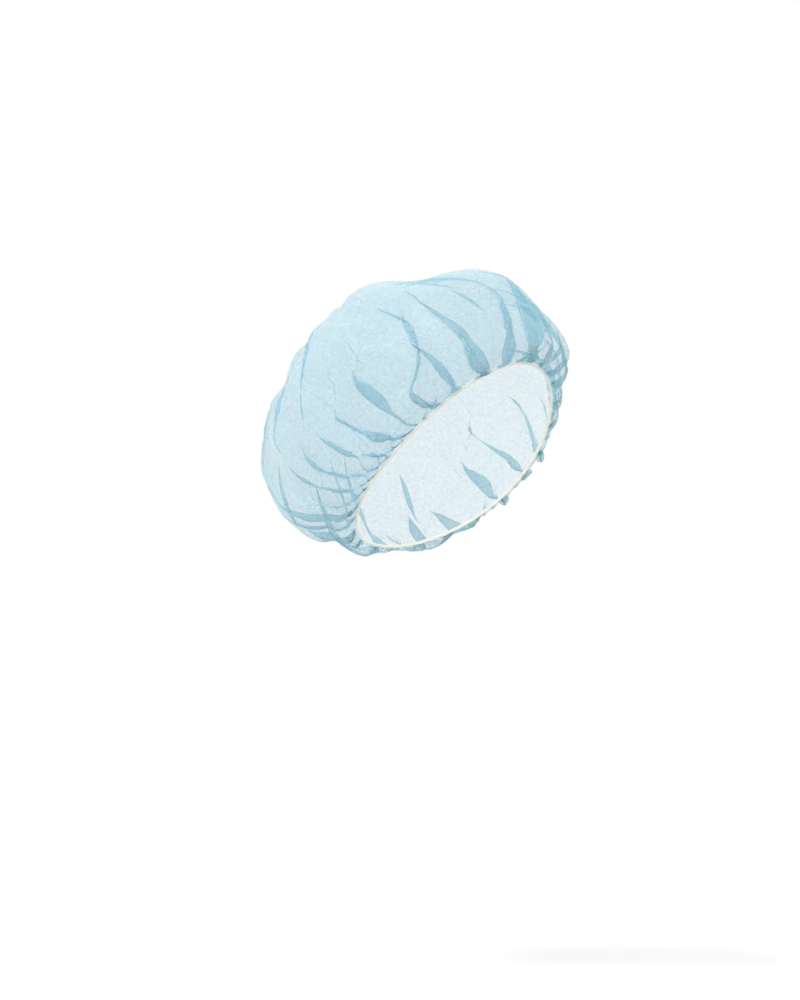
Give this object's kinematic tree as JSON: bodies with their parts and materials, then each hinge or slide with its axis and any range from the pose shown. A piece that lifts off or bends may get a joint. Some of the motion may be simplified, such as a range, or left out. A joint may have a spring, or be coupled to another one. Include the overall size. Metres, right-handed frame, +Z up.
{
  "type": "bouffant cap",
  "caption": "Disposable bouffant cap of thin nonwoven cloth, puffed out as it is when worn, with its edge gathered on an elastic that slopes from the forehead down to the nape.",
  "frame": {"origin": "middle of the rim, at the level where the elastic grips the head", "axes": "+Z up with the wearer's head level, -Y the way the wearer faces, +X towards the wearer's left"},
  "size_m": [0.2474, 0.2461, 0.2289],
  "materials": {
    "nonwoven_cloth": "matt light blue spunbond cloth that light shows through, with fine fibres and soft creases",
    "elastic_knit": "matt cream knitted elastic with fine ribs"
  },
  "bodies": {
    "root": {"crown": "nonwoven_cloth", "elastic_band": "elastic_knit"}
  },
  "joints": []
}
